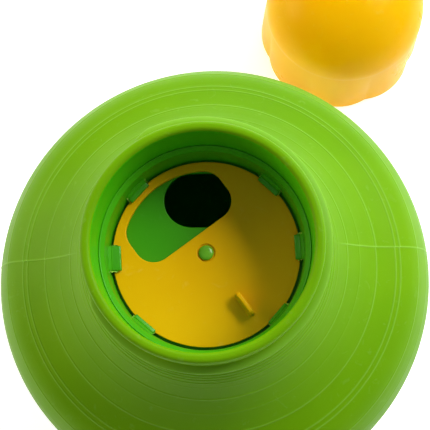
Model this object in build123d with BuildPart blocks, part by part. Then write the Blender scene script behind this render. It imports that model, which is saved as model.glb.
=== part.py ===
from build123d import *
from math import cos, radians, sin
import os

# Wasp trap: a blow-moulded bulb with a screw neck, a rotary shutter set down inside its mouth,
# and the domed screw cap, which lies beside it open side down.
# Millimetres, +Z up. The origin is on the bulb's axis, on the surface that it stands on.

os.makedirs("parts", exist_ok=True)

# The bulb, its neck, and the ledge inside the neck
mouth_height = 194.0
mouth_radius = 30.0
neck_radius = 33.0
neck_foot_height = 180.0
belly_radius = 72.8
belly_height = 118.0
foot_radius = 30.3
shell_wall = 1.6
lip_rounding = 1.3
ledge_height = 178.9
ledge_radius = 29.4
ledge_thickness = 1.6

# Stations up the bulb's side: radius, height, and how far the surface there leans to face up, in degrees
lower_stations = [
    (foot_radius, 0, -66),
    (48.8, 14.0, -40.6),
    (63.3, 40.0, -19.7),
    (70.9, 75.0, -6.5),
    (belly_radius, belly_height, 0),
]
upper_stations = [
    (belly_radius, belly_height, 0),
    (71.2, 132.2, 15),
    (66.2, 142.2, 38),
    (52.2, 151.8, 52),
    (41.9, 162.2, 39),
    (36.4, 171.5, 25),
    (neck_radius, neck_foot_height, 0),
]

# The right-handed screw thread, one start, alike on the neck and in the cap
thread_pitch = 10.0
thread_turn = 285.0
thread_root_width = 3.6
thread_crest_width = 1.6
thread_height = 2.3
thread_bury = 0.6
neck_thread_low = 182.6
neck_thread_angle = -160.0

# The entrance cup, which hangs in the neck by its rim
cup_radius = 27.9
cup_wall = 1.0
cup_draft = 0.6
cup_rim_radius = 29.95
cup_rim_thickness = 1.5
floor_top = 170.2
floor_thickness = 1.6
entrance_length = 25.4
entrance_width = 16.5
entrance_offset = 16.1

# The six clips that hold the disc down: the angle of each round the cup, and how far it reaches in
clips = [(138, 2.0), (47, 2.0), (3, 2.3), (-41, 1.3), (-130, 1.6), (184, 3.3)]
clip_width = 7.2
clip_root_height = 2.6
clip_tip_height = 1.3
clip_clearance = 0.3

# The shutter disc, its D-shaped window, and the finger tab opposite the window
disc_radius = 27.2
disc_thickness = 1.5
disc_clearance = 0.3
window_radius = 24.6
window_chord = 5.7
window_width = 32.6
window_corner = 6.0
window_angle = 126.6
tab_inner = 14.8
tab_length = 7.9
tab_thickness = 1.3
tab_height = 4.2
tab_rounding = 1.6

# The rivet that the disc turns on
pin_radius = 1.9
pin_clearance = 0.05
pin_head_radius = 2.2
pin_head_height = 0.9
pin_head_gap = 0.15
pin_sink_radius = 2.6
pin_sink_depth = 0.4
pin_tail_radius = 2.9
pin_tail_height = 0.8

# The cap, and the place where it lies
cap_x = 56.8
cap_y = 141.3
lobe_count = 8
lobe_start = 19.5
skirt_valley = 37.0
skirt_peak = 38.7
skirt_height = 13.0
skirt_draft = 0.4
dome_radius = 36.6
dome_base = 31.5
dome_height = 28.0
cap_bore = 35.6
cap_wall = 1.4
cap_thread_low = 2.0

disc_bottom = floor_top + disc_clearance
disc_top = disc_bottom + disc_thickness
clip_bottom = disc_top + clip_clearance
cap_place = Plane(origin=(cap_x, cap_y, 0))
cap_section = Plane(origin=(cap_x, cap_y, 0), x_dir=(1, 0, 0), z_dir=(0, -1, 0))
cap_axis = Axis((cap_x, cap_y, 0), (0, 0, 1))


def screw_thread(wall_radius, direction):
    """A ridge up a round wall: direction is 1 where it stands outwards and -1 where it stands inwards."""
    buried = wall_radius - thread_bury * direction
    crest = wall_radius + thread_height * direction
    with BuildPart() as ridge:
        with BuildLine():
            Helix(thread_pitch, thread_pitch * thread_turn / 360, wall_radius)
        with BuildSketch(Plane.XZ):
            with BuildLine():
                Polyline(
                    (buried, -thread_root_width / 2),
                    (crest, -thread_crest_width / 2),
                    (crest, thread_crest_width / 2),
                    (buried, thread_root_width / 2),
                    close=True,
                )
            make_face()
        sweep(is_frenet=True)
    return ridge.part


def lobed_outline(valley, peak):
    """A closed ring of arcs, one for each lobe of the cap's grip."""
    step = 360 / lobe_count
    for lobe in range(lobe_count):
        start, middle, end = (radians(lobe_start + step * (lobe + part)) for part in (0, 0.5, 1))
        ThreePointArc(
            (valley * cos(start), valley * sin(start)),
            (peak * cos(middle), peak * sin(middle)),
            (valley * cos(end), valley * sin(end)),
        )


def bulb_side(stations, inset, ends):
    """The curve through the stations, or through points that lie inset inside them."""
    points = [(r - inset * cos(radians(a)), z - inset * sin(radians(a))) for r, z, a in stations]
    return Spline(*points, tangents=ends)


# Bulb: one blown shell from the flat base over the belly to the screw neck, with a ledge in the neck
neck_thread = Pos(0, 0, neck_thread_low) * Rot(0, 0, neck_thread_angle) * screw_thread(neck_radius, 1)

with BuildPart() as bulb_body:
    with BuildSketch(Plane.XZ):
        with BuildLine():
            outer_side = bulb_side(lower_stations, 0, ((1, 0.45), (0, 1)))
            outer_shoulder = bulb_side(upper_stations, 0, ((0, 1), (0, 1)))
            inner_side = bulb_side(lower_stations, shell_wall, ((1, 0.45), (0, 1)))
            inner_shoulder = bulb_side(upper_stations[:-1], shell_wall, ((0, 1), (-0.45, 0.9)))
            Polyline(inner_side @ 0, (0, (inner_side @ 0).Y), (0, 0), outer_side @ 0)
            Polyline(
                outer_shoulder @ 1,
                (neck_radius, mouth_height),
                (mouth_radius, mouth_height),
                (mouth_radius, ledge_height),
                (ledge_radius, ledge_height),
                (ledge_radius, ledge_height - ledge_thickness),
                inner_shoulder @ 1,
            )
        make_face()
    revolve(axis=Axis.Z)
    fillet(edges().group_by(Axis.Z)[-1], lip_rounding)
    add(neck_thread)
bulb_body.part.label = "bulb_body"
export_step(bulb_body.part, "parts/bulb_body.step")

# Entrance cup: a shallow moulded cup with the wasps' way in through its floor and a slot for each clip
with BuildPart() as entrance_cup:
    with BuildSketch(Plane.XZ):
        with BuildLine():
            Polyline(
                (0, floor_top - floor_thickness),
                (cup_radius + cup_wall, floor_top - floor_thickness),
                (cup_radius + cup_wall, ledge_height),
                (cup_rim_radius, ledge_height),
                (cup_rim_radius, ledge_height + cup_rim_thickness),
                (cup_radius + cup_draft, ledge_height + cup_rim_thickness),
                (cup_radius, floor_top),
                (0, floor_top),
                close=True,
            )
        make_face()
    revolve(axis=Axis.Z)
    with BuildSketch(Plane.XY.offset(floor_top)):
        with Locations((0, entrance_offset)):
            SlotOverall(entrance_length, entrance_width)
        Circle(pin_radius)
    extrude(amount=-floor_thickness, mode=Mode.SUBTRACT)
    for angle, _ in clips:
        with BuildSketch(Plane.XZ.rotated((0, 0, angle))):
            with Locations((cup_radius, clip_bottom)):
                Rectangle(2 * cup_wall, clip_root_height, align=(Align.CENTER, Align.MIN))
        extrude(amount=clip_width / 2, both=True, mode=Mode.SUBTRACT)
entrance_cup.part.label = "entrance_cup"
export_step(entrance_cup.part, "parts/entrance_cup.step")

# Disc clips: six separate hooks, each pressed through its slot, sloped on top so that the disc snaps under
with BuildPart() as disc_clips:
    for angle, reach in clips:
        with BuildSketch(Plane.XZ.rotated((0, 0, angle))):
            with BuildLine():
                Polyline(
                    (cup_radius + cup_wall, clip_bottom),
                    (cup_radius + cup_wall, clip_bottom + clip_root_height),
                    (cup_radius, clip_bottom + clip_root_height),
                    (cup_radius - reach, clip_bottom + clip_tip_height),
                    (cup_radius - reach, clip_bottom),
                    close=True,
                )
            make_face()
        extrude(amount=clip_width / 2, both=True)
disc_clips.part.label = "disc_clips"
export_step(disc_clips.part, "parts/disc_clips.step")

# Shutter disc: flat, with the window that uncovers the way in, the finger tab, and a sunk pin hole
with BuildPart() as shutter_disc:
    with BuildSketch(Plane.XY.offset(disc_bottom)):
        Circle(disc_radius)
        Circle(pin_radius + pin_clearance, mode=Mode.SUBTRACT)
    extrude(amount=disc_thickness)
    with BuildSketch(Plane.XY.offset(disc_top).rotated((0, 0, window_angle))):
        Circle(window_radius)
        with Locations((window_chord, 0)):
            Rectangle(window_radius, window_width, align=(Align.MIN, Align.CENTER), mode=Mode.INTERSECT)
        fillet(vertices(), window_corner)
    extrude(amount=-disc_thickness, mode=Mode.SUBTRACT)
    with BuildSketch(Plane.XY.offset(disc_top)):
        Circle(pin_sink_radius)
    extrude(amount=-pin_sink_depth, mode=Mode.SUBTRACT)
    with BuildSketch(Plane.XZ.rotated((0, 0, window_angle - 180))) as tab_side:
        with Locations((tab_inner, disc_top)):
            Rectangle(tab_length, tab_height, align=(Align.MIN, Align.MIN))
        fillet(tab_side.vertices().group_by(Axis.Z)[-1], tab_rounding)
    extrude(amount=tab_thickness / 2, both=True)
shutter_disc.part.label = "shutter_disc"
export_step(shutter_disc.part, "parts/shutter_disc.step")

# Pivot pin: a rivet, held in the cup's floor by its tail and domed over the disc
floor_bottom = floor_top - floor_thickness
head_bottom = disc_top - pin_sink_depth + pin_head_gap
head_top = disc_top + pin_head_height
with BuildPart() as pivot_pin:
    with BuildSketch(Plane.XZ):
        with BuildLine():
            Polyline(
                (0, head_top),
                (0, floor_bottom - pin_tail_height),
                (pin_tail_radius, floor_bottom - pin_tail_height),
                (pin_tail_radius, floor_bottom),
                (pin_radius, floor_bottom),
                (pin_radius, head_bottom),
                (pin_head_radius, head_bottom),
                (pin_head_radius, disc_top),
            )
            TangentArc((0, head_top), (pin_head_radius, disc_top), tangent=(1, 0))
        make_face()
    revolve(axis=Axis.Z)
pivot_pin.part.label = "pivot_pin"
export_step(pivot_pin.part, "parts/pivot_pin.step")

# Screw cap: a smooth dome over a lobed skirt, threaded inside
cap_thread = Pos(cap_x, cap_y, cap_thread_low) * screw_thread(cap_bore, -1)

with BuildPart() as screw_cap:
    with BuildSketch(cap_place):
        with BuildLine():
            lobed_outline(skirt_valley, skirt_peak)
        make_face()
    with BuildSketch(cap_place.offset(skirt_height)):
        with BuildLine():
            lobed_outline(skirt_valley - skirt_draft, skirt_peak - 2 * skirt_draft)
        make_face()
    with BuildSketch(cap_place.offset(dome_base)):
        with BuildLine():
            lobed_outline(dome_radius, dome_radius)
        make_face()
    loft(ruled=True)
    with BuildSketch(cap_section):
        with Locations((0, dome_base)):
            Ellipse(dome_radius, dome_height)
        with Locations((0, dome_base)):
            Rectangle(dome_radius, dome_height, align=(Align.MIN, Align.MIN), mode=Mode.INTERSECT)
    revolve(axis=cap_axis)
    with BuildSketch(cap_section):
        with BuildLine():
            Polyline(
                (0, dome_base),
                (0, 0),
                (cap_bore, 0),
                (cap_bore, skirt_height),
                (dome_radius - cap_wall, dome_base),
                close=True,
            )
        make_face()
    revolve(axis=cap_axis, mode=Mode.SUBTRACT)
    with BuildSketch(cap_section):
        with Locations((0, dome_base)):
            Ellipse(dome_radius - cap_wall, dome_height - cap_wall)
        with Locations((0, dome_base)):
            Rectangle(dome_radius, dome_height, align=(Align.MIN, Align.MIN), mode=Mode.INTERSECT)
    revolve(axis=cap_axis, mode=Mode.SUBTRACT)
    add(cap_thread)
screw_cap.part.label = "screw_cap"
export_step(screw_cap.part, "parts/screw_cap.step")
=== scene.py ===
from math import cos, hypot, pi, radians, sin
import bmesh
import bpy
import numpy as np
from mathutils import Matrix, Vector


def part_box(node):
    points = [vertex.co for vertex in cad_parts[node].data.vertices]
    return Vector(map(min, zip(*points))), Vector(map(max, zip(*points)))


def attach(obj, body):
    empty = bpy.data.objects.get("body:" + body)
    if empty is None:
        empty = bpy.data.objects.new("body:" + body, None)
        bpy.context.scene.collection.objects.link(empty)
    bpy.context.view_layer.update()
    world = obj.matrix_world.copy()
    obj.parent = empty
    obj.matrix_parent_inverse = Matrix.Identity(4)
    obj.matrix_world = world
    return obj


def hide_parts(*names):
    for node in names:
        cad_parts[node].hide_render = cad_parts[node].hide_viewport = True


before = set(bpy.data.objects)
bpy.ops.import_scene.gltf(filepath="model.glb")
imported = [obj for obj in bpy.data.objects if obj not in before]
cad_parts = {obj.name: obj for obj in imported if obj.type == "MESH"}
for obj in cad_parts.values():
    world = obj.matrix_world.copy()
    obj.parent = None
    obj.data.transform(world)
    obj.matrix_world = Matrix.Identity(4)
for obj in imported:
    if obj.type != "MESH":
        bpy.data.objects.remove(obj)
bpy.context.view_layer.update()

# ---------------------------------------------------------------------------
# Bulb. One shell of green polyethylene, blown in a mould of two halves: a
# round belly, fine rings left by the turned mould, a raised line down each
# side where the halves met, and a neck with a single screw thread.
# ---------------------------------------------------------------------------

mm = 0.001
bulb_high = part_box("bulb_body")[1]
belly_radius = bulb_high.x / mm
mouth_height = bulb_high.z / mm
wall = 1.6
neck_radius = 33.0
mouth_radius = 30.0
neck_foot = mouth_height - 14.0
lip_rounding = 1.3
ledge_top = mouth_height - 15.1
ledge_radius = 29.4
ledge_thickness = 1.6
belly_height = 118.0
foot_radius = 30.3
thread_turn = 285
relief_depth = 0.22
half_slip = 0.35
fine_rings_above = 168.0


def side_curve(stations, step):
    """Points about step apart on a smooth side through stations of radius, height and lean."""
    runs = []
    for (r0, z0, lean0), (r1, z1, lean1) in zip(stations, stations[1:]):
        chord = hypot(r1 - r0, z1 - z0)
        t = np.linspace(0, 1, max(2, round(chord / step)), endpoint=False)[:, None]
        start, end = np.array((r0, z0)), np.array((r1, z1))
        leave = chord * np.array((-sin(radians(lean0)), cos(radians(lean0))))
        arrive = chord * np.array((-sin(radians(lean1)), cos(radians(lean1))))
        runs.append(
            (2 * t**3 - 3 * t**2 + 1) * start
            + (t**3 - 2 * t**2 + t) * leave
            + (3 * t**2 - 2 * t**3) * end
            + (t**3 - t**2) * arrive
        )
    return np.vstack(runs + [np.array(stations[-1][:2])])


def inset(stations, depth):
    """The same stations moved inwards, square to the surface."""
    return [(r - depth * cos(radians(a)), z - depth * sin(radians(a)), a) for r, z, a in stations]


def along(line, step):
    """Points about step apart on a run of straight pieces."""
    runs = []
    for start, end in zip(line, line[1:]):
        count = max(1, round(hypot(end[0] - start[0], end[1] - start[1]) / step))
        t = np.linspace(0, 1, count, endpoint=False)[:, None]
        runs.append((1 - t) * np.array(start) + t * np.array(end))
    return np.vstack(runs + [np.array(line[-1])])


def quarter(centre, radius, start, end, count):
    """Points on an arc between two angles in degrees."""
    turn = np.radians(np.linspace(start, end, count))
    return np.stack((centre[0] + radius * np.cos(turn), centre[1] + radius * np.sin(turn)), 1)


def arc_length(section):
    return np.concatenate(([0.0], np.cumsum(np.hypot(*np.diff(section, axis=0).T))))


def ring_skin(name, grid, loop=False):
    """A skin over rings of points in mm, whose first and last rings are closed or joined together."""
    rows, columns = grid.shape[:2]
    points = [tuple(p) for p in grid.reshape(-1, 3) * mm]
    faces = []
    for row in range(rows if loop else rows - 1):
        low, high = row * columns, (row + 1) % rows * columns
        for column in range(columns):
            beside = (column + 1) % columns
            faces.append((low + column, low + beside, high + beside, high + column))
    if not loop:
        for ring, turned in ((0, False), (rows - 1, True)):
            hub = len(points)
            points.append(tuple(grid[ring].mean(0) * mm))
            for column in range(columns):
                pair = (ring * columns + column, ring * columns + (column + 1) % columns)
                faces.append((hub, *(pair if turned else pair[::-1])))
    mesh = bpy.data.meshes.new(name)
    mesh.from_pydata(points, [], faces)
    return finish_mesh(name, mesh)


def finish_mesh(name, mesh, smooth_under=38):
    """Turns the faces outwards, shades them smooth except over sharp edges, and makes the object."""
    work = bmesh.new()
    work.from_mesh(mesh)
    bmesh.ops.recalc_face_normals(work, faces=work.faces)
    work.to_mesh(mesh)
    work.free()
    mesh.shade_smooth()
    mesh.set_sharp_from_angle(angle=radians(smooth_under))
    piece = bpy.data.objects.new(name, mesh)
    bpy.context.scene.collection.objects.link(piece)
    return piece


def turned(section, angles, centre=(0, 0)):
    """A section of (radius, height) rows carried round the axis, as a grid of points."""
    radius = np.broadcast_to(section[..., 0], (len(section), len(angles)))
    height = np.broadcast_to(section[..., 1], (len(section), len(angles)))
    return np.stack(
        (centre[0] + radius * np.cos(angles), centre[1] + radius * np.sin(angles), height), -1
    )


def thread_rise(angles, height, low, start, turn, pitch=10.0, rise=2.3):
    """How far a screw thread stands off its wall, at every height and angle."""
    past = (np.degrees(angles) - start) % 360
    spread = np.abs(height - (low + pitch * past / 360))
    ridge = np.clip((1.8 - spread) / 1.35, 0, 1)
    ridge = ridge * ridge * (3 - 2 * ridge)
    ends = np.clip(np.minimum(past, turn - past) / 9 + 0.02, 0, 1)
    return rise * ridge * np.sqrt(np.where(past <= turn, ends, 0))


side = [
    (foot_radius, 0, -66),
    (48.8, 14.0, -40.6),
    (63.3, 40.0, -19.7),
    (70.9, 75.0, -6.5),
    (belly_radius, belly_height, 0),
    (71.2, 132.2, 15),
    (66.2, 142.2, 38),
    (52.2, 151.8, 52),
    (41.9, 162.2, 39),
    (36.4, 171.5, 25),
    (neck_radius, neck_foot, 0),
]
ring_heights = [179.0, 178.1, 177.2, 176.3, 175.3, 174.3, 173.2, 172.0, 170.7, 169.2, 166.9]
ring_heights += [162.2, 157.5, 152.2, 148.1, 147.2, 142.1, 136.6, 130.4, 123.8, 116.9, 109.8]
ring_heights += [102.5, 95.0, 87.2, 79.0, 70.5, 61.5, 52.0, 42.0, 31.0, 19.0]
faint_rings = {166.9, 157.5, 136.6, 123.8, 109.8}

# the outer side, with rows close together where a ring crosses it
outer = side_curve(side, 0.5)
reach = arc_length(outer)
ring_places = np.interp(ring_heights, outer[:, 1], reach)
near_ring = np.array((-0.9, -0.55, -0.35, -0.2, -0.08, 0.04, 0.16, 0.28, 0.45, 0.7, 1.0))
rows = np.concatenate((np.arange(0, reach[-1], 1.3), (ring_places[:, None] + near_ring).ravel()))
rows = np.unique(np.round(np.append(rows[rows < reach[-1] - 0.1], reach[-1]), 2))
outer = np.stack([np.interp(rows, reach, outer[:, axis]) for axis in (0, 1)], 1)

# columns all the way round, closer together beside the two parting lines
parting = (5.7, 178.3)
columns = list(np.arange(0, 360, 1.2))
for line in parting:
    columns += [line + step for step in (-0.75, -0.45, -0.25, -0.12, 0, 0.12, 0.25, 0.45, 0.75)]
angles = np.radians(np.unique(np.round(columns, 2)))
degrees = np.degrees(angles)
front_half = (degrees < parting[0]) | (degrees > parting[1])


def mould_relief(places):
    """Fine grooves close together under the neck, and thin raised rings on the rest of the side."""
    relief = 0.018 * np.sin(places / 1.9) + 0.014 * np.sin(places / 0.83 + 1.0)
    for height, ring in zip(ring_heights, ring_places):
        away = places - ring
        if height > fine_rings_above:
            relief += 0.1 * np.exp(-((away / 0.2) ** 2))
            relief -= 0.1 * np.exp(-(((away - 0.42) / 0.2) ** 2))
        else:
            rise = 0.05 if height in faint_rings else 0.11
            relief += rise * np.exp(-((away / 0.24) ** 2))
            relief -= 0.4 * rise * np.exp(-(((away - 0.5) / 0.25) ** 2))
    return relief


slope = np.gradient(outer, rows, axis=0)
normal = np.stack((slope[:, 1], -slope[:, 0]), 1)
normal /= np.linalg.norm(normal, axis=1)[:, None]
calm = np.clip(rows / 6, 0, 1) * np.clip((rows[-1] - rows) / 1.0, 0, 1)
relief = np.where(front_half, mould_relief(rows)[:, None], mould_relief(rows + half_slip)[:, None] - 0.02)
seam_height = np.clip((rows[-1] - 14 - rows) / 8, 0, 1) * 0.14
for line in parting:
    beside = (angles - radians(line)) * outer[:, :1]
    relief += seam_height[:, None] * np.exp(-((beside / 0.2) ** 2))
relief = (relief - relief_depth) * calm[:, None]
outer_grid = turned(outer[:, None, :] + normal[:, None, :] * relief[..., None], angles)

# the neck's wall with its thread, and the rounded lip
lip_height = mouth_height - lip_rounding
neck_wall = along(((neck_radius, neck_foot), (neck_radius, lip_height)), 0.16)[1:]
thread = thread_rise(angles, neck_wall[:, 1:], neck_foot + 2.6, -160, thread_turn)
neck_top = np.clip((lip_height - neck_wall[:, 1:]) / 0.8, 0, 1)
neck_section = np.stack(np.broadcast_arrays(neck_wall[:, :1] + thread * neck_top, neck_wall[:, 1:]), -1)
neck_grid = turned(neck_section, angles)
lip = np.vstack(
    (
        quarter((neck_radius - lip_rounding, lip_height), lip_rounding, 0, 90, 9)[1:],
        quarter((mouth_radius + lip_rounding, lip_height), lip_rounding, 90, 180, 9),
    )
)

# down the inside: throat, ledge, wall and floor
ledge_foot = ledge_top - ledge_thickness
ledge = ((mouth_radius, ledge_top), (ledge_radius, ledge_top), (ledge_radius, ledge_foot))
throat = along(((mouth_radius, lip_height), *ledge), 0.9)[1:]
inner_side = side_curve(inset(side[:-1], wall), 2.0)[::-1]
inner_base = along((tuple(inner_side[-1]), (2.0, wall)), 4.0)[1:]
foot = along(((2.0, 0.0), (foot_radius, 0.0)), 2.0)[:-1]
inside = np.vstack((throat, inner_side, inner_base))
bulb_grid = np.vstack(
    (
        turned(foot[:, None, :], angles),
        outer_grid,
        neck_grid,
        turned(lip[:, None, :], angles),
        turned(inside[:, None, :], angles),
    )
)
bulb = ring_skin("bulb", bulb_grid)

# painted highlights: the rings, the parting lines and the thread are painted paler, standing in for light
# caught on their ridges
painted_highlight = np.zeros(bulb_grid.shape[:2])
side_start = len(foot)
neck_start = side_start + len(outer)
side_highlight = painted_highlight[side_start:neck_start]
# painted highlight along each ring
for height, ring in zip(ring_heights, ring_places):
    share = 0.16 if height > fine_rings_above else 0.05 if height in faint_rings else 0.2
    past_ring = rows[:, None] - ring + np.where(front_half, 0, half_slip)
    side_highlight += share * np.exp(-((past_ring / 0.26) ** 2))
# painted highlight down each parting line
for line in parting:
    beside = (angles - radians(line)) * outer[:, :1]
    side_highlight += 1.8 * seam_height[:, None] * np.exp(-((beside / 0.25) ** 2))
# painted highlight on the thread's bulge
painted_highlight[neck_start : neck_start + len(neck_wall)] += 0.12 * thread
# the painted highlights go to the material as a point attribute
thin = bulb.data.attributes.new("painted_highlight_share", "FLOAT", "POINT")
thin.data.foreach_set("value", np.append(painted_highlight.ravel().clip(0, 1), (0.0, 0.0)))


def plastic(name, tones, roughness, grain, mottle=18.0, turned_lines=0.0, with_painted_highlights=False, **gloss):
    """A moulded plastic: pigment that varies a little, satin patches, fine grain and light scuffs."""
    scuff = 0.12
    material = bpy.data.materials.new(name)
    material.use_nodes = True
    nodes, links = material.node_tree.nodes, material.node_tree.links
    skin = nodes["Principled BSDF"]
    for socket, value in gloss.items():
        skin.inputs[socket.replace("_", " ")].default_value = value
    place = nodes.new("ShaderNodeTexCoord").outputs["Object"]

    def noise(scale, detail, distortion=0.0, where=place):
        texture = nodes.new("ShaderNodeTexNoise")
        texture.inputs["Scale"].default_value = scale
        texture.inputs["Detail"].default_value = detail
        texture.inputs["Distortion"].default_value = distortion
        links.new(where, texture.inputs["Vector"])
        return texture.outputs["Fac"]

    def ramp(value, stops):
        band = nodes.new("ShaderNodeValToRGB")
        for stop, (position, colour) in enumerate(stops):
            if stop > 1:
                band.color_ramp.elements.new(position)
            element = band.color_ramp.elements[stop]
            element.position = position
            element.color = (*colour, 1)
        links.new(value, band.inputs["Fac"])
        return band.outputs["Color"]

    def spread(value, low, high, new_low, new_high):
        change = nodes.new("ShaderNodeMapRange")
        change.inputs["From Min"].default_value = low
        change.inputs["From Max"].default_value = high
        change.inputs["To Min"].default_value = new_low
        change.inputs["To Max"].default_value = new_high
        links.new(value, change.inputs["Value"])
        return change.outputs["Result"]

    pigment = ramp(noise(mottle, 4.0), tuple(zip((0.3, 0.52, 0.75), tones)))
    marks = spread(noise(150.0, 8.0, 2.6), 0.62, 0.74, 0.0, scuff)
    worn = nodes.new("ShaderNodeMix")
    worn.data_type = "RGBA"
    worn.inputs["B"].default_value = (*(min(1.0, 0.15 + 1.15 * part) for part in tones[2]), 1)
    links.new(marks, worn.inputs["Factor"])
    links.new(pigment, worn.inputs["A"])
    colour = worn.outputs["Result"]
    # painted highlights: a paler colour mixed in as far as the mesh's highlight attribute asks
    if with_painted_highlights:
        edges = nodes.new("ShaderNodeAttribute")
        edges.attribute_name = "painted_highlight_share"
        highlight_mix = nodes.new("ShaderNodeMix")
        highlight_mix.data_type = "RGBA"
        highlight_mix.inputs["B"].default_value = (*(min(1.0, 0.12 + 1.5 * part) for part in tones[2]), 1)
        links.new(edges.outputs["Fac"], highlight_mix.inputs["Factor"])
        links.new(colour, highlight_mix.inputs["A"])
        colour = highlight_mix.outputs["Result"]
    links.new(colour, skin.inputs["Base Color"])

    satin = spread(noise(55.0, 6.0), 0.3, 0.7, roughness - 0.05, roughness + 0.06)
    rough = nodes.new("ShaderNodeMath")
    rough.operation = "ADD"
    links.new(satin, rough.inputs[0])
    links.new(marks, rough.inputs[1])
    links.new(rough.outputs["Value"], skin.inputs["Roughness"])

    bump = nodes.new("ShaderNodeBump")
    bump.inputs["Strength"].default_value = 1.0
    bump.inputs["Distance"].default_value = grain * mm
    links.new(noise(1300.0, 5.0), bump.inputs["Height"])
    if turned_lines:
        stretch = nodes.new("ShaderNodeMapping")
        stretch.inputs["Scale"].default_value = (0.02, 0.02, 1.0)
        links.new(place, stretch.inputs["Vector"])
        lines = nodes.new("ShaderNodeBump")
        lines.inputs["Distance"].default_value = turned_lines * mm
        links.new(noise(620.0, 3.0, 0.0, stretch.outputs["Vector"]), lines.inputs["Height"])
        links.new(lines.outputs["Normal"], bump.inputs["Normal"])
    links.new(bump.outputs["Normal"], skin.inputs["Normal"])
    return material


blown_green = plastic(
    "blown_green",
    ((0.125, 0.32, 0.001), (0.14, 0.35, 0.001), (0.165, 0.385, 0.002)),
    roughness=0.42,
    grain=0.02,
    turned_lines=0.05,
    with_painted_highlights=True,
    Specular_IOR_Level=0.06,
    Subsurface_Weight=0.1,
    Subsurface_Scale=0.003,
    Subsurface_Radius=(0.2, 1.0, 0.05),
)
# painted light: a greener copy of the bulb's plastic for the inside of the neck, standing in for green
# light bounced round the throat and shining through its wall
throat_painted_glow = plastic(
    "throat_painted_glow",
    ((0.05, 0.42, 0.001), (0.06, 0.46, 0.001), (0.07, 0.50, 0.002)),
    roughness=0.4,
    grain=0.015,
    Specular_IOR_Level=0.2,
)
bulb.data.materials.append(blown_green)
bulb.data.materials.append(throat_painted_glow)
# the inside of the neck above the ledge takes the painted glow
for face in bulb.data.polygons:
    place = face.center / mm
    if place.z > ledge_top and hypot(place.x, place.y) < mouth_radius + 0.1:
        face.material_index = 1
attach(bulb, "trap")
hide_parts("bulb_body")

# ---------------------------------------------------------------------------
# Entrance cup. A shallow cup of injection-moulded green plastic that hangs by
# its rim on the ledge inside the neck. Its floor has the oblong way in for
# the wasps and a hole for the rivet.
# ---------------------------------------------------------------------------

cup_low, cup_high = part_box("entrance_cup")
floor_bottom = cup_low.z / mm
floor_top = floor_bottom + 1.6
rim_top = cup_high.z / mm
rim_radius = cup_high.x / mm
cup_radius = 27.9
pin_radius = 1.9


def circle(radius, count=96, centre=(0, 0)):
    turn = np.linspace(0, 2 * pi, count, endpoint=False)
    return [(centre[0] + radius * cos(t), centre[1] + radius * sin(t)) for t in turn]


def plate(name, outlines, bottom, top, rounding):
    """A flat plate with rounded edges: the first outline is its edge, and the rest are holes."""
    curve = bpy.data.curves.new(name, "CURVE")
    curve.dimensions = "2D"
    curve.fill_mode = "BOTH"
    for outline in outlines:
        line = curve.splines.new("POLY")
        line.points.add(len(outline) - 1)
        for point, (x, y) in zip(line.points, outline):
            point.co = (x * mm, y * mm, 0, 1)
        line.use_cyclic_u = True
    curve.extrude = ((top - bottom) / 2 - rounding) * mm
    curve.bevel_depth = rounding * mm
    curve.bevel_resolution = 3
    curve.offset = -rounding * mm
    shape = bpy.data.objects.new(name, curve)
    bpy.context.scene.collection.objects.link(shape)
    bpy.context.view_layer.update()
    mesh = bpy.data.meshes.new_from_object(shape.evaluated_get(bpy.context.evaluated_depsgraph_get()))
    bpy.data.objects.remove(shape)
    mesh.transform(Matrix.Translation((0, 0, (top + bottom) / 2 * mm)))
    work = bmesh.new()
    work.from_mesh(mesh)
    bmesh.ops.remove_doubles(work, verts=work.verts, dist=1e-7)
    work.to_mesh(mesh)
    work.free()
    return finish_mesh(name, mesh, 30)


def joined(name, pieces):
    """One mesh of several, which were moulded as one."""
    work = bmesh.new()
    for piece in pieces:
        work.from_mesh(piece.data)
        bpy.data.objects.remove(piece)
    mesh = bpy.data.meshes.new(name)
    work.to_mesh(mesh)
    work.free()
    piece = bpy.data.objects.new(name, mesh)
    bpy.context.scene.collection.objects.link(piece)
    flatten = piece.modifiers.new("flat faces stay flat", "WEIGHTED_NORMAL")
    flatten.keep_sharp = True
    return piece


entrance_length, entrance_width, entrance_offset = 25.4, 16.5, 16.1
half_run = (entrance_length - entrance_width) / 2
turn = np.radians(np.linspace(-90, 90, 28))
end_radius = entrance_width / 2
entrance = [(half_run + end_radius * cos(t), entrance_offset + end_radius * sin(t)) for t in turn]
entrance += [(-x, y) for x, y in entrance[::-1]]
cup_floor = plate(
    "cup_floor",
    [circle(cup_radius + 0.6, 128), entrance, circle(pin_radius, 32)],
    floor_bottom,
    floor_top,
    0.22,
)
cup_section = np.vstack(
    (
        ((cup_radius + 0.02, floor_bottom + 0.25), (cup_radius + 0.3, floor_bottom)),
        quarter((28.65, floor_bottom + 0.25), 0.25, -90, 0, 4),
        along(((28.9, floor_bottom + 0.5), (28.9, ledge_top), (rim_radius - 0.2, ledge_top)), 0.7),
        quarter((rim_radius - 0.2, ledge_top + 0.2), 0.2, -90, 0, 4),
        quarter((rim_radius - 0.15, rim_top - 0.15), 0.15, 0, 90, 4),
        quarter((rim_radius - 0.25, rim_top - 0.2), 0.2, 90, 150, 4),
        quarter((cup_radius + 1.9, ledge_top - 0.2), 1.35, 165, 190, 6),
        along(((cup_radius + 0.5, ledge_top - 1.1), (cup_radius + 0.02, floor_top + 0.05)), 0.7),
    )
)
cup_grid = turned(cup_section[:, None, :], np.radians(np.arange(0, 360, 2)))
cup_wall = ring_skin("cup_wall", cup_grid, loop=True)
cup = joined("cup", [cup_floor, cup_wall])
moulded_green = plastic(
    "moulded_green",
    ((0.045, 0.33, 0.001), (0.055, 0.36, 0.001), (0.065, 0.39, 0.002)),
    roughness=0.38,
    grain=0.012,
    Specular_IOR_Level=0.3,
)
cup.data.materials.append(moulded_green)
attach(cup, "trap")
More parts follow.
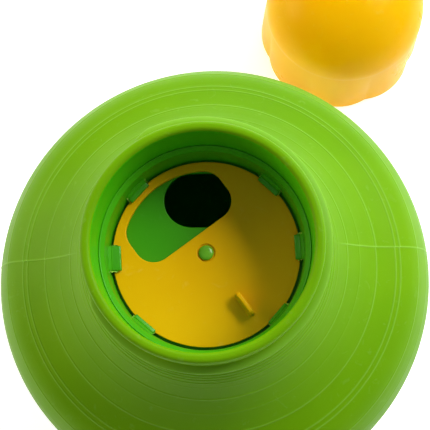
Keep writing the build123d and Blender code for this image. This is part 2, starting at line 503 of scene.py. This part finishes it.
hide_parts("entrance_cup")

# ---------------------------------------------------------------------------
# Disc clips. Six hooks of the same green plastic round the cup's wall. Their
# tops slope so that the disc snaps under them, with a crease where the slope
# changes and ragged flash left along their ends.
# ---------------------------------------------------------------------------

clips_low, clips_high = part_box("disc_clips")
clip_bottom = clips_low.z / mm
clip_top = clips_high.z / mm
clip_width = 7.2
chance = np.random.default_rng(7)


def clip_section(across, clip_reach):
    """A hook cut across, as points (radius, height): its top sinks a little towards its ends."""
    end = abs(across) ** 4
    clip_tip = cup_radius - clip_reach
    crease = cup_radius - min(0.72, 0.35 * clip_reach)
    return [
        (cup_radius + 0.9, clip_bottom),
        (cup_radius + 0.9, clip_top - 0.1 - 0.25 * end),
        (cup_radius + 0.15, clip_top - 0.05 - 0.35 * end),
        (cup_radius - 0.1, clip_top - 0.28 - 0.4 * end),
        (crease + 0.1, clip_bottom + 1.72 - 0.35 * end),
        (crease - 0.1, clip_bottom + 1.76 - 0.35 * end),
        (crease - 0.25, clip_bottom + 1.55 - 0.3 * end),
        (clip_tip + 0.4, clip_bottom + 1.28 - 0.25 * end),
        (clip_tip + 0.12, clip_bottom + 1.18 - 0.25 * end),
        (clip_tip, clip_bottom + 0.95 - 0.1 * end),
        (clip_tip, clip_bottom + 0.18),
        (clip_tip + 0.15, clip_bottom),
    ]


def flash_fin(at_end, clip_reach):
    """A ragged sliver of plastic squeezed out at one end of a hook, as a strip of thin faces."""
    points, faces = [], []
    steps = 7
    for step in range(steps):
        share = step / (steps - 1)
        radius = cup_radius + 0.1 - 0.8 * clip_reach * share * chance.uniform(0.75, 1.0)
        foot = clip_bottom + 1.75 - 1.1 * share
        rise = (0.18 + 0.75 * chance.random() ** 2) * (1 - 0.5 * share)
        lean = at_end * (0.1 + 0.5 * chance.random())
        points += [
            (radius, at_end * (clip_width / 2 - 0.1), foot - 0.3),
            (radius - 0.05, at_end * (clip_width / 2 - 0.02) + lean, foot + rise * 0.6),
            (radius - 0.1, at_end * (clip_width / 2 + 0.05), foot - 0.3),
        ]
    for step in range(steps - 1):
        low, high = 3 * step, 3 * step + 3
        faces += [(low, low + 1, high + 1, high), (low + 1, low + 2, high + 2, high + 1)]
        faces.append((low + 2, low, high, high + 2))
    faces += [(0, 2, 1), (3 * steps - 3, 3 * steps - 2, 3 * steps - 1)]
    return points, faces


def flesh_out(name, parts, angle):
    """A mesh of (points, faces) parts drawn beside the X axis, turned to its angle round the cup."""
    points, faces = [], []
    for part_points, part_faces in parts:
        faces += [tuple(len(points) + corner for corner in face) for face in part_faces]
        points += part_points
    mesh = bpy.data.meshes.new(name)
    mesh.from_pydata([tuple(c * mm for c in p) for p in points], [], faces)
    mesh.transform(Matrix.Rotation(radians(angle), 4, "Z"))
    return finish_mesh(name, mesh, 40)


hooks, fins = [], []
for angle, clip_reach in ((138, 2.0), (47, 2.0), (3, 2.3), (-41, 1.3), (-130, 1.6), (184, 3.3)):
    stations = np.array((-1, -0.975, -0.93, -0.8, -0.5, 0, 0.5, 0.8, 0.93, 0.975, 1))
    points = []
    for across in stations:
        pinch = 0.12 if abs(across) == 1 else 0.035 if abs(across) > 0.95 else 0
        for radius, height in clip_section(across, clip_reach):
            middle = (cup_radius - 0.3, clip_bottom + 0.9)
            points.append(
                (
                    radius + pinch * np.sign(middle[0] - radius),
                    across * clip_width / 2,
                    height + pinch * np.sign(middle[1] - height),
                )
            )
    count = len(clip_section(0, clip_reach))
    faces = [tuple(range(count)), tuple(range(len(points) - count, len(points)))[::-1]]
    for row in range(len(stations) - 1):
        for corner in range(count):
            beside = (corner + 1) % count
            low, high = row * count, (row + 1) * count
            faces.append((low + corner, high + corner, high + beside, low + beside))
    hooks.append(flesh_out("hook", [(points, faces)], angle))
    fins.append(flesh_out("fin", [flash_fin(-1, clip_reach), flash_fin(1, clip_reach)], angle))
clips = joined("clips", hooks)
flash = joined("clip_flash", fins)
clip_green = plastic(
    "clip_green",
    ((0.04, 0.30, 0.001), (0.05, 0.34, 0.002), (0.065, 0.38, 0.004)),
    roughness=0.34,
    grain=0.012,
    Specular_IOR_Level=0.35,
)
flash_green = plastic(
    "flash_green",
    ((0.22, 0.48, 0.03), (0.30, 0.58, 0.06), (0.42, 0.66, 0.14)),
    roughness=0.3,
    grain=0.01,
    mottle=900.0,
)
clips.data.materials.append(clip_green)
flash.data.materials.append(flash_green)
for piece in (clips, flash):
    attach(piece, "trap")
    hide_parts("disc_clips")

# ---------------------------------------------------------------------------
# Pivot pin. A green plastic rivet pressed through the cup's floor, with a
# flat tail below and a smooth domed head that holds the disc's middle.
# ---------------------------------------------------------------------------

pin_low, pin_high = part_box("pivot_pin")
pin_tail, pin_head = pin_low.z / mm, pin_high.z / mm
head_radius, head_height, tail_radius = 2.2, 0.9, 2.9
bend = np.linspace(pi / 2, 0.12, 12)
dome = np.stack((head_radius * np.sin(bend), pin_head - head_height * (1 - np.cos(bend))), 1)
pin_section = np.vstack(
    (
        ((0.6, pin_tail), (2.6, pin_tail)),
        quarter((2.6, pin_tail + 0.3), 0.3, -90, 0, 5),
        ((tail_radius, floor_bottom - 0.02), (pin_radius, floor_bottom - 0.02)),
        along(((pin_radius, floor_bottom), (pin_radius, pin_head - 1.15)), 0.6),
        ((head_radius, pin_head - 1.13),),
        dome,
    )
)
pin = ring_skin("pin", turned(pin_section[:, None, :], np.radians(np.arange(0, 360, 5))))
pin_green = plastic(
    "pin_green",
    ((0.14, 0.42, 0.01), (0.16, 0.46, 0.015), (0.19, 0.50, 0.02)),
    roughness=0.24,
    grain=0.006,
    mottle=400.0,
)
pin.data.materials.append(pin_green)
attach(pin, "trap")
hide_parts("pivot_pin")

# ---------------------------------------------------------------------------
# Shutter disc. A flat golden disc of injection-moulded plastic that turns on
# the pin: a D-shaped window uncovers the way in, a finger tab stands up
# opposite it, and its middle is sunk round the pin's head.
# ---------------------------------------------------------------------------

disc_low, disc_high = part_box("shutter_disc")
disc_radius = (disc_high.x - disc_low.x) / 2 / mm
disc_bottom = disc_low.z / mm
disc_top = disc_bottom + 1.5
window_radius, window_chord, window_width, window_corner, window_angle = 24.6, 5.7, 32.6, 6.0, 126.6


def window_outline():
    """A circle cut off by a chord and two parallel sides, with round corners, as points in mm."""
    side_y = window_width / 2 - window_corner
    upper_x = ((window_radius - window_corner) ** 2 - side_y**2) ** 0.5
    upper_turn = np.degrees(np.arctan2(side_y, upper_x))
    half = np.vstack(
        (
            quarter((window_chord + window_corner, side_y), window_corner, 180, 90, 20),
            quarter((upper_x, side_y), window_corner, 90, upper_turn, 16),
            quarter((0, 0), window_radius, upper_turn, 0, 30)[1:],
        )
    )
    turn = Matrix.Rotation(radians(window_angle), 2)
    return [tuple(turn @ Vector(point)) for point in np.vstack((half, half[-2::-1] * (1, -1)))]


def tab_grid():
    """Rings up the finger tab, from its flared foot to its rounded top."""
    length, height, thickness, rounding, buried = 7.9, 4.2, 1.3, 1.6, 0.05
    rings = []
    for share in (0, 0.04, 0.09, 0.16, 0.3, 0.5, 0.65, 0.75, 0.84, 0.91, 0.96, 0.99, 1.0):
        rise = height * share
        flare = 0.45 * max(0, 1 - rise / 0.55) ** 2
        over = max(0, rise - (height - rounding)) / rounding
        half_length = length / 2 - rounding * (1 - (1 - over**2) ** 0.5) * 0.92 + flare * 0.5
        ease = max(0, rise - (height - 0.5)) / 0.5
        half_thick = thickness / 2 - 0.42 * (1 - (1 - ease**2) ** 0.5) + flare
        straight = half_length - half_thick
        right = quarter((straight, 0), half_thick, -90, 90, 12)
        left = quarter((-straight, 0), half_thick, 90, 270, 12)
        ring = np.vstack((right, left))
        level = disc_top - buried + rise * (height + buried) / height
        rings.append(np.column_stack((ring, np.full(len(ring), level))))
    grid = np.array(rings)
    turn = radians(window_angle - 180)
    x, y = grid[..., 0] + 14.8 + length / 2, grid[..., 1]
    return np.stack((x * cos(turn) - y * sin(turn), x * sin(turn) + y * cos(turn), grid[..., 2]), -1)


sink_radius = 2.6
disc_outlines = [circle(disc_radius, 160), window_outline(), circle(sink_radius, 48)]
disc_plate = plate("disc_plate", disc_outlines, disc_bottom, disc_top, 0.2)
sunk_section = np.array(
    (
        (1.96, disc_bottom),
        (2.9, disc_bottom + 0.02),
        (2.9, disc_top - 0.42),
        (2.1, disc_top - 0.4),
        (1.96, disc_top - 0.5),
    )
)
sunk_grid = turned(sunk_section[:, None, :], np.radians(np.arange(0, 360, 6)))
sunk_ring = ring_skin("sunk_ring", sunk_grid, loop=True)
tab = ring_skin("tab", tab_grid())
disc = joined("disc", [disc_plate, sunk_ring, tab])
disc_yellow = plastic(
    "disc_yellow",
    ((0.84, 0.42, 0.0), (0.88, 0.45, 0.0), (0.92, 0.485, 0.001)),
    roughness=0.36,
    grain=0.01,
    mottle=30.0,
    Specular_IOR_Level=0.1,
)
disc.data.materials.append(disc_yellow)
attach(disc, "shutter")
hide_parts("shutter_disc")

# ---------------------------------------------------------------------------
# Screw cap. The trap's own cap of semi-gloss yellow plastic, laid open side
# down: eight lobes round its skirt to grip, a steep slope, a smooth dome,
# and inside it the thread that fits the neck's.
# ---------------------------------------------------------------------------

cap_low, cap_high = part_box("screw_cap")
cap_centre = ((cap_low.x + cap_high.x) / 2 / mm, (cap_low.y + cap_high.y) / 2 / mm)
cap_height = cap_high.z / mm
skirt_valley, skirt_peak = 37.0, 38.7
skirt_top, dome_base, dome_radius = 13.0, 31.5, 36.6
skirt_draft = 0.4
lobe_start, lobe_step = 19.5, 45
cap_bore, cap_wall, cap_thread_low = 35.6, 1.4, 2.0
cap_angles = np.radians(np.arange(0, 360, 0.75))


def lobes(angles):
    """1 in the middle of a lobe and 0 in the crease between two."""
    off = ((np.degrees(angles) - lobe_start) % lobe_step) / (lobe_step / 2) - 1
    return 1 - np.minimum(off**2 * 1.03, 0.985)


# up the outside: rounded foot, lobed wall, slope that the creases run out on, dome
lobe_depth = skirt_peak - skirt_valley
lobe_height = lobe_depth * lobes(cap_angles)
outside = []
foot_rounding = ((0.0, 0.5), (0.12, 0.22), (0.4, 0.04), (0.8, 0.02), (4, 0.02), (8, 0.02), (11.5, 0.02))
for height, rounding in foot_rounding:
    draft = skirt_draft * height / skirt_top
    outside.append((skirt_valley - draft - rounding + lobe_height * (1 - draft / lobe_depth), height))
for share in np.linspace(0, 1, 18):
    height = skirt_top + (dome_base - skirt_top) * share
    slope_radius = skirt_valley - skirt_draft - 0.02 - 0.08 * share
    outside.append((slope_radius + lobe_height * (1 - skirt_draft / lobe_depth) * (1 - share), height))
for t in np.radians(np.concatenate(((1.5, 3, 5), np.linspace(8, 88.5, 28)))):
    height = dome_base + (cap_height - dome_base) * sin(t)
    outside.append((np.full_like(lobe_height, dome_radius * cos(t)), height))
outside = np.array([np.stack((radius, np.full_like(radius, height)), 1) for radius, height in outside])

# down the inside: dome, slope, threaded bore
inner_dome = [
    ((dome_radius - cap_wall) * cos(t), dome_base + (cap_height - dome_base - cap_wall) * sin(t))
    for t in np.radians(np.linspace(88.5, 0, 16))
]
bore = np.vstack(
    (
        inner_dome,
        along(((dome_radius - cap_wall, dome_base), (cap_bore, skirt_top)), 0.8)[1:],
        along(((cap_bore, skirt_top), (cap_bore, 0.3)), 0.22)[1:],
        ((cap_bore + 0.12, 0.08), (cap_bore + 0.4, 0.0)),
    )
)
inner_thread = thread_rise(cap_angles, bore[:, 1:], cap_thread_low, 0, thread_turn)
inner_thread *= np.clip(bore[:, 1:] / 0.4, 0, 1) * (bore[:, 1:] < skirt_top)
hollow = np.stack(np.broadcast_arrays(bore[:, :1] - inner_thread, bore[:, 1:]), -1)
cap_grid = turned(np.vstack((outside[::-1], hollow[::-1])), cap_angles, cap_centre)
cap = ring_skin("cap", cap_grid)
cap_yellow = plastic(
    "cap_yellow",
    ((0.98, 0.42, 0.0), (1.0, 0.45, 0.0), (1.0, 0.49, 0.001)),
    roughness=0.3,
    grain=0.008,
    mottle=24.0,
    Specular_IOR_Level=0.06,
    Subsurface_Weight=0.5,
    Subsurface_Scale=0.02,
    Subsurface_Radius=(1.0, 0.45, 0.02),
)
cap.data.materials.append(cap_yellow)
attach(cap, "cap")
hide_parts("screw_cap")

# ---------------------------------------------------------------------------
# Table, light and camera. A plain white table under one soft light from the
# back right, with weaker ones behind and at both sides and pale light all round.
# ---------------------------------------------------------------------------

table_mesh = bpy.data.meshes.new("table")
table_mesh.from_pydata([(-3, -3, 0), (3, -3, 0), (3, 3, 0), (-3, 3, 0)], [], [(0, 1, 2, 3)])
table = bpy.data.objects.new("table", table_mesh)
bpy.context.scene.collection.objects.link(table)
table_white = bpy.data.materials.new("table_white")
table_white.use_nodes = True
table_skin = table_white.node_tree.nodes["Principled BSDF"]
table_skin.inputs["Base Color"].default_value = (0.93, 0.93, 0.93, 1)
table_skin.inputs["Roughness"].default_value = 0.9
table_skin.inputs["Emission Color"].default_value = (1, 1, 1, 1)
table_skin.inputs["Emission Strength"].default_value = 0.6
table.data.materials.append(table_white)

world = bpy.data.worlds.new("pale_room")
world.use_nodes = True
world.node_tree.nodes["Background"].inputs["Color"].default_value = (1, 1, 1, 1)
world.node_tree.nodes["Background"].inputs["Strength"].default_value = 0.2
bpy.context.scene.world = world
bpy.context.scene.view_settings.view_transform = "Standard"


def soft_light(name, place, aim, size, power, colour=(1, 1, 1)):
    lamp = bpy.data.lights.new(name, "AREA")
    lamp.size = size
    lamp.energy = power
    lamp.color = colour
    light = bpy.data.objects.new(name, lamp)
    light.location = place
    light.rotation_euler = (Vector(aim) - Vector(place)).to_track_quat("-Z", "Y").to_euler()
    bpy.context.scene.collection.objects.link(light)


soft_light("window_light", (0.84, 0.56, 0.93), (0.02, 0.05, 0.165), 0.6, 17)
soft_light("back_light", (0.15, 1.2, 0.72), (0.03, 0.08, 0.12), 0.8, 6)
soft_light("left_light", (-1.1, 0.3, 0.5), (0, 0, 0.15), 0.6, 9, (1.0, 0.86, 0.6))
soft_light("right_light", (1.15, -0.3, 0.5), (0, 0, 0.15), 0.6, 1)

turn, tilt, roll = radians(11.5), radians(77.57), radians(-11.53)
ahead = Vector((-sin(turn) * cos(tilt), cos(turn) * cos(tilt), -sin(tilt)))
level = Vector((cos(turn), sin(turn), 0))
upright = level.cross(ahead)
across = cos(roll) * level + sin(roll) * upright
upwards = -sin(roll) * level + cos(roll) * upright
lens = bpy.data.cameras.new("camera")
lens.lens = 76.07
lens.sensor_width = 36
lens.clip_start = 0.01
camera = bpy.data.objects.new("camera", lens)
facing = Matrix((across, upwards, -ahead)).transposed().to_4x4()
camera.matrix_world = Matrix.Translation((0.0139, -0.0448, 0.431)) @ facing
bpy.context.scene.collection.objects.link(camera)
bpy.context.scene.camera = camera
